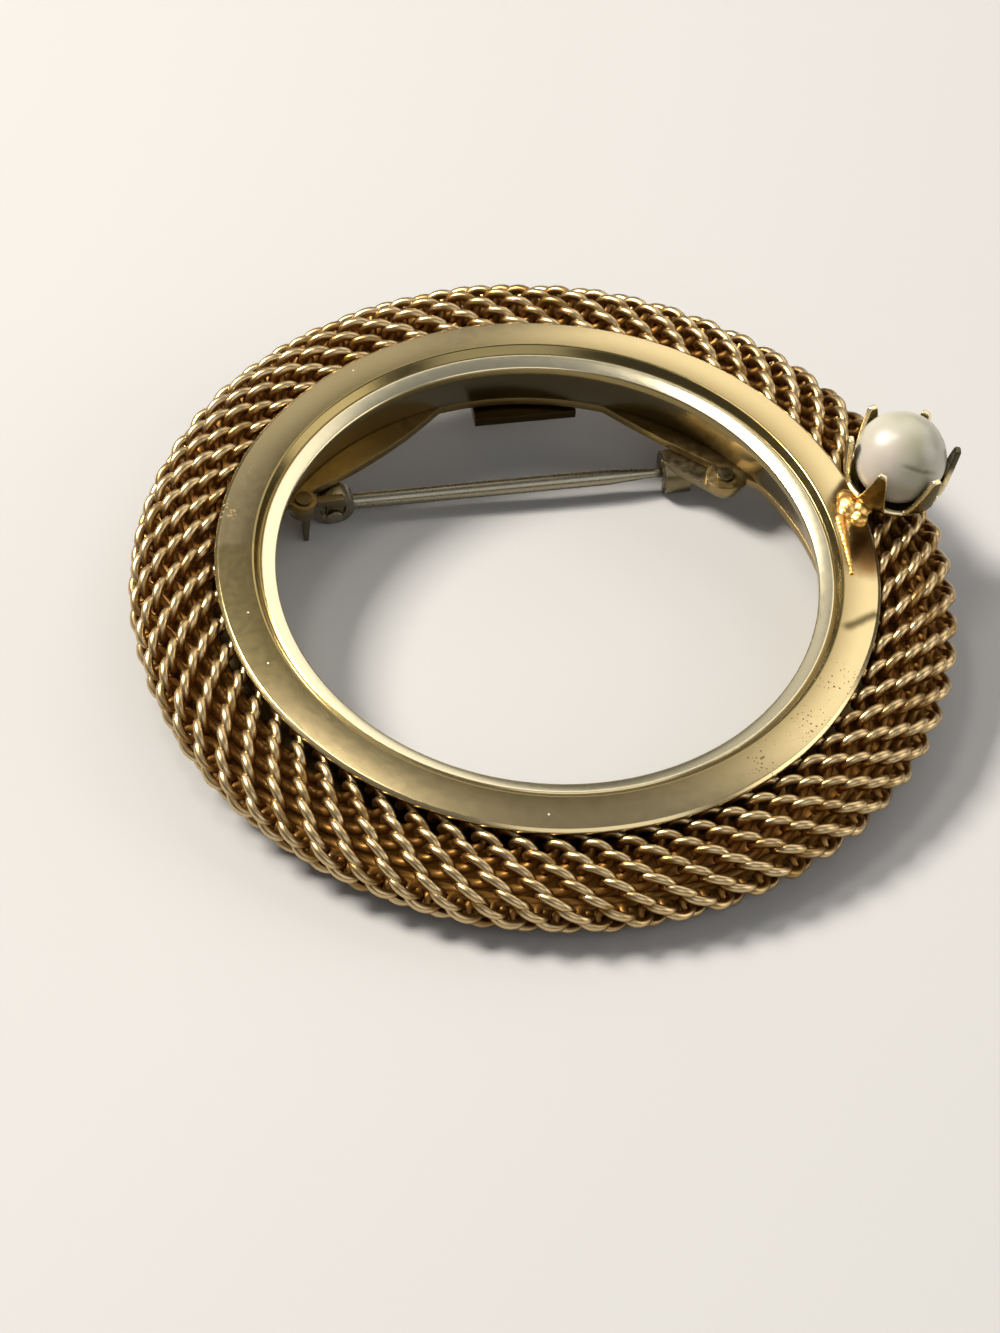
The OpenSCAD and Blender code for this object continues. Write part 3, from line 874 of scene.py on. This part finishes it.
def rim_light_and_prong_shade(mat, place, colour, rough, bump):
    rim = add(mat, "ShaderNodeAttribute", out="Fac", attribute_name="rim")
    rim_rub_and_highlight = add(mat, "ShaderNodeMapRange", {"Value": rim, "From Min": 0.2, "From Max": 0.9},
                 interpolation_type="SMOOTHSTEP")
    # Pale rim: rubbed edges with a painted highlight.
    colour = tinted(mat, colour, rim_rub_and_highlight, 1.0, "#F2E2B4")
    # The right prong is painted nearly black: painted shade.
    return tinted(mat, colour, round_mask(mat, place, SHADED_PRONG, 1.1, 1.7), 0.92, "#2C2618"), rough, bump


# The cup's darker plate is painted shade.
cup_gold = satin_gold_plate("gold plate, pressed cup", "#86703A", "#5E4A20", 0.24, 0.34, rim_light_and_prong_shade)
leaned = Matrix.Rotation(pearl_turn, 4, "Z") @ Matrix.Rotation(CUP_LEAN, 4, "Y")
to_pearl = Matrix.Translation(PEARL_AT) @ leaned
cup_flat = np.array([to_pearl @ Vector(p) for p in cup_points])
cup_flat[:, 2] = np.maximum(cup_flat[:, 2], 2 * MESH_B + CUP_CLEAR)
cup = new_piece("pearl_cup", lying(cup_flat), cup_faces)
outward(cup)
store(cup, "rim", np.repeat(rim_rows, n_cols))
dress(cup, "bezel_ring", cup_gold)
print("cup faces:", len(cup.data.polygons))

# %% [markdown]
# ## Solder
# Gold solder, bright and reddish, joins the cup to the bezel: a lumpy heap of drops, and a streak that ran
# along the band while it was hot. Metaballs could melt such drops together, but they come out too round.
# Here slightly flat balls are heaped up, with small seeded ones strewn over them.

# %% Heap up the drops
SOLDER_AT, SQUASH = (15.25, 1.85, 4.1), 0.7
HEAP = [(SOLDER_AT, 0.66), ((15.75, 1.55, 4.2), 0.55), ((14.95, 1.5, 4.08), 0.48), ((15.15, 2.4, 4.05), 0.46),
        ((15.5, 1.0, 4.05), 0.42)]
STREAK_FROM, STREAK_TO, STREAK_DROPS = 4.0, -9.5, 14
STREAK_R, STREAK_H = 14.55, 4.12
LAST_DROP = (14.35, 14.35 * math.tan(math.radians(STREAK_TO)), 4.2), 0.15
SMALL_DROPS = 16

blobs = list(HEAP)
for t in np.linspace(0, 1, STREAK_DROPS):
    a, x = math.radians(STREAK_FROM + t * (STREAK_TO - STREAK_FROM)), STREAK_R - 0.2 * t
    blobs.append(((x, x * math.tan(a), STREAK_H + 0.06 * t), 0.3 * (1 - 0.66 * t)))
blobs.append(LAST_DROP)
drops = np.random.default_rng(3)
for _ in range(SMALL_DROPS):
    way, reach = drops.uniform(0, 2 * math.pi), drops.uniform(0.3, 0.75)
    x, y = SOLDER_AT[0] + 0.1 + reach * math.cos(way), SOLDER_AT[1] + 0.8 * reach * math.sin(way)
    blobs.append(((x, y, 4.05 + 0.35 * (0.8 - reach)), drops.uniform(0.16, 0.28)))


def squashed_ball(centre, radius):
    bm = bmesh.new()
    bmesh.ops.create_icosphere(bm, subdivisions=3, radius=radius)
    points = [(v.co.x + centre[0], v.co.y + centre[1], v.co.z * SQUASH + centre[2]) for v in bm.verts]
    triangles = [[v.index for v in f.verts] for f in bm.faces]
    bm.free()
    return points, triangles


solder_points, solder_faces = [], []
for centre, radius in blobs:
    points, triangles = squashed_ball(centre, radius)
    solder_faces += [[i + len(solder_points) for i in face] for face in triangles]
    solder_points += points
print("drops of solder:", len(blobs))

# %% [markdown]
# Solder is one skin, so the heap is remeshed in voxels of 0.05 mm, which drops what lies inside, and then
# smoothed until the drops flow together. It cooled with fine wrinkles, drawn as bumps 0.48 mm apart.

# %% Fuse the solder
VOXEL_MM, SOFTEN_TIMES = 0.05, 7
WRINKLE_MM, WRINKLE_DEEP_MM = 0.4762, 0.12


def wrinkled(mat, place, colour, rough, bump):
    swell = add(mat, "ShaderNodeTexNoise", {"Vector": place, "Scale": repeats(WRINKLE_MM), "Detail": 2.0})
    return colour, rough, add(mat, "ShaderNodeBump", {"Height": swell, "Normal": bump, "Strength": 0.6,
                                                      "Distance": WRINKLE_DEEP_MM * MM})


solder_gold = satin_gold_plate("gold solder, run and cooled", "#FFD27C", "#FF9A3C", 0.26, 0.4, wrinkled)
solder = new_piece("cup_solder", lying(solder_points), solder_faces)
fuse = solder.modifiers.new("fuse", "REMESH")
fuse.mode, fuse.voxel_size = "VOXEL", VOXEL_MM * MM
soften = solder.modifiers.new("soften", "SMOOTH")
soften.factor, soften.iterations = 0.5, SOFTEN_TIMES
fused = bpy.data.meshes.new_from_object(solder.evaluated_get(bpy.context.evaluated_depsgraph_get()))
solder.modifiers.clear()
solder.data = fused
fused.polygons.foreach_set("use_smooth", [True] * len(fused.polygons))
dress(solder, "bezel_ring", solder_gold)
print("solder faces:", len(fused.polygons))

# %% [markdown]
# ## Pearl
# A cultured pearl is nacre: thin clear layers over a pale core. Light goes a little way in, so it looks
# soft, and a thin coat gives the gentle gloss. The layers are uneven, so clouds of 3.3 mm change the colour
# from greenish to rose grey. An olive patch above the pearl's one crease, and a darker colour in the crease,
# are painted shade. It could be a plain sphere, but no pearl is quite round: a slow noise changes its radius
# and the crease is pressed in.

# %% Finish of the pearl
CLOUDY_MM = 3.3333
OLIVE_SHADE_WAY = (0.005, -0.635, 0.773)

nacre = new_material("cultured pearl, nacre")
place = add(nacre, "ShaderNodeTexCoord", out="Object")
clouds = add(nacre, "ShaderNodeTexNoise", {"Vector": place, "Scale": repeats(CLOUDY_MM), "Detail": 2.0})
colour = add(nacre, "ShaderNodeValToRGB", {"Fac": clouds},
             stops=[(0.3, "#969379"), (0.5, "#ABA797"), (0.7, "#B9AEA3")])
olive_shade_at = np.array(PEARL_AT) + np.array(OLIVE_SHADE_WAY) * PEARL_D / 2
# Painted shade: an olive patch above the crease.
colour = tinted(nacre, colour, round_mask(nacre, place, olive_shade_at, 0.4, 2.2, clouds, 1.2), 0.6, "#8C8662")
fold = add(nacre, "ShaderNodeAttribute", out="Fac", attribute_name="fold")
# Painted shade darkens the crease.
colour = tinted(nacre, colour, fold, 0.75, "#66563A")
shade(nacre, {"Base Color": colour, "Roughness": 0.34, "IOR": 1.53, "Coat Weight": 0.35,
              "Coat Roughness": 0.22, "Subsurface Weight": 0.15, "Subsurface Scale": 0.5 * MM,
              "Subsurface Radius": (1.0, 0.8, 0.7)})
print("finish:", nacre.name)

# %% [markdown]
# The crease runs between two points of the sphere. For each point of the mesh, the nearest place on that run
# gives how deep it lies in the crease, which both presses it in and is stored as fold for the finish.

# %% Shape of the pearl
CREASE_FROM, CREASE_TO = (-0.204, -0.785, 0.585), (0.541, -0.797, 0.269)
CREASE_W, CREASE_DEEP, UNEVEN = 0.045, 0.018, 0.006

bm = bmesh.new()
bmesh.ops.create_icosphere(bm, subdivisions=6, radius=PEARL_D / 2)
folds = []
start, end = Vector(CREASE_FROM).normalized(), Vector(CREASE_TO).normalized()
for v in bm.verts:
    unit = v.co.normalized()
    along = min(1, max(0, (unit - start).dot(end - start) / (end - start).length_squared))
    miss = (unit - (start + (end - start) * along).normalized()).length + 0.02 * noise.noise(unit * 9)
    folds.append(math.exp(-(miss / CREASE_W) ** 2) * min(1, 4 * along * (1 - along) + 0.3))
    v.co *= 1 - UNEVEN * (1 + noise.noise(unit * 1.3)) - CREASE_DEEP * folds[-1]
    v.co += Vector(PEARL_AT)
points, faces = [v.co[:] for v in bm.verts], [[v.index for v in f.verts] for f in bm.faces]
bm.free()
pearl = new_piece("pearl_bead", lying(points), faces)
store(pearl, "fold", folds)
dress(pearl, "pearl", nacre)
print("pearl faces:", len(pearl.data.polygons))

# %% [markdown]
# ## Back and findings
# The back ring is plated like the bezel but never polished, and is also darkened as painted shade. The
# plaque that is soldered under it is painted nearly black as painted shade. Findings are the bought parts,
# hinge and catch, whose plate has gone dull and grey, and is darkened further as painted shade.
# The pin and its rivet are drawn nickel silver, the palest of the three, because cloth wipes the pin each
# time it goes through. The same recipe makes all three, with other colours and roughness.

# %% Finishes of the back, the findings and the pin
PLAQUE_AT, PLAQUE_TOP_MM = (1.75, 14.25, 0.0), -0.05


def plaque_painted_shade(mat, place, colour, rough, bump):
    off = add(mat, "ShaderNodeVectorMath", {0: place, 1: lying([PLAQUE_AT])[0]}, operation="SUBTRACT")
    level = add(mat, "ShaderNodeVectorMath", {0: off, 1: direction((0, 0, 1))}, "Value",
                operation="DOT_PRODUCT")
    below = add(mat, "ShaderNodeMath", {0: level, 1: PLAQUE_TOP_MM * MM}, operation="LESS_THAN")
    near = round_mask(mat, place, PLAQUE_AT, 3.2, 3.6)
    shaded_plaque = add(mat, "ShaderNodeMath", {0: below, 1: near}, operation="MULTIPLY")
    # The plaque's underside is painted nearly black: painted shade.
    return tinted(mat, colour, shaded_plaque, 0.9, "#33260F"), rough, bump


# The back's and the findings' darker colours are partly painted shade.
back_gold = satin_gold_plate("plain gold plate, back", "#A08A5C", "#7E6940", 0.30, 0.45, plaque_painted_shade)
findings_gold = satin_gold_plate("dull gold plate, findings", "#8C8064", "#564A30", 0.28, 0.42)
pin_steel = satin_gold_plate("drawn nickel-silver wire", "#9C9480", "#8A826E", 0.25, 0.32)
print("finishes:", back_gold.name, "|", findings_gold.name, "|", pin_steel.name)

# %% [markdown]
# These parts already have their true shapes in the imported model, but every edge there is razor sharp. Real
# edges are eased by tumbling, and they catch the light. Each part could be modelled anew, but a copy keeps
# its fits: its seams are welded, its flat faces joined, and its sharp edges get a narrow bevel.

# %% Ease the edges
WELD_MM = 0.002
FLAT_DEG, SHARP_DEG, CRISP_DEG = 1.0, 35, 40


def eased(node, body, width_mm, mat):
    """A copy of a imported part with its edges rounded."""
    mesh = frame["nodes"][node].data.copy()
    mesh.name = node + "_eased"
    bm = bmesh.new()
    bm.from_mesh(mesh)
    bmesh.ops.remove_doubles(bm, verts=bm.verts, dist=WELD_MM * MM)
    bmesh.ops.dissolve_limit(bm, angle_limit=math.radians(FLAT_DEG), verts=bm.verts, edges=bm.edges)
    sharp = [e for e in bm.edges if len(e.link_faces) == 2 and e.calc_face_angle(0) > math.radians(SHARP_DEG)]
    bmesh.ops.bevel(bm, geom=sharp, offset=width_mm * MM, segments=2, profile=0.6, affect="EDGES",
                    clamp_overlap=True)
    bm.to_mesh(mesh)
    bm.free()
    piece = placed(mesh.name, mesh, body)
    dress(piece, node, mat)
    mesh.set_sharp_from_angle(angle=math.radians(CRISP_DEG))
    print(piece.name, "faces:", len(mesh.polygons))


eased("back_ring", "wreath", 0.04, back_gold)
eased("hinge_base", "wreath", 0.03, findings_gold)
eased("hinge_rivet", "wreath", 0.02, pin_steel)
eased("pin_stem", "pin", 0.03, pin_steel)
eased("catch", "wreath", 0.03, findings_gold)
eased("catch_lock", "lock", 0.03, findings_gold)
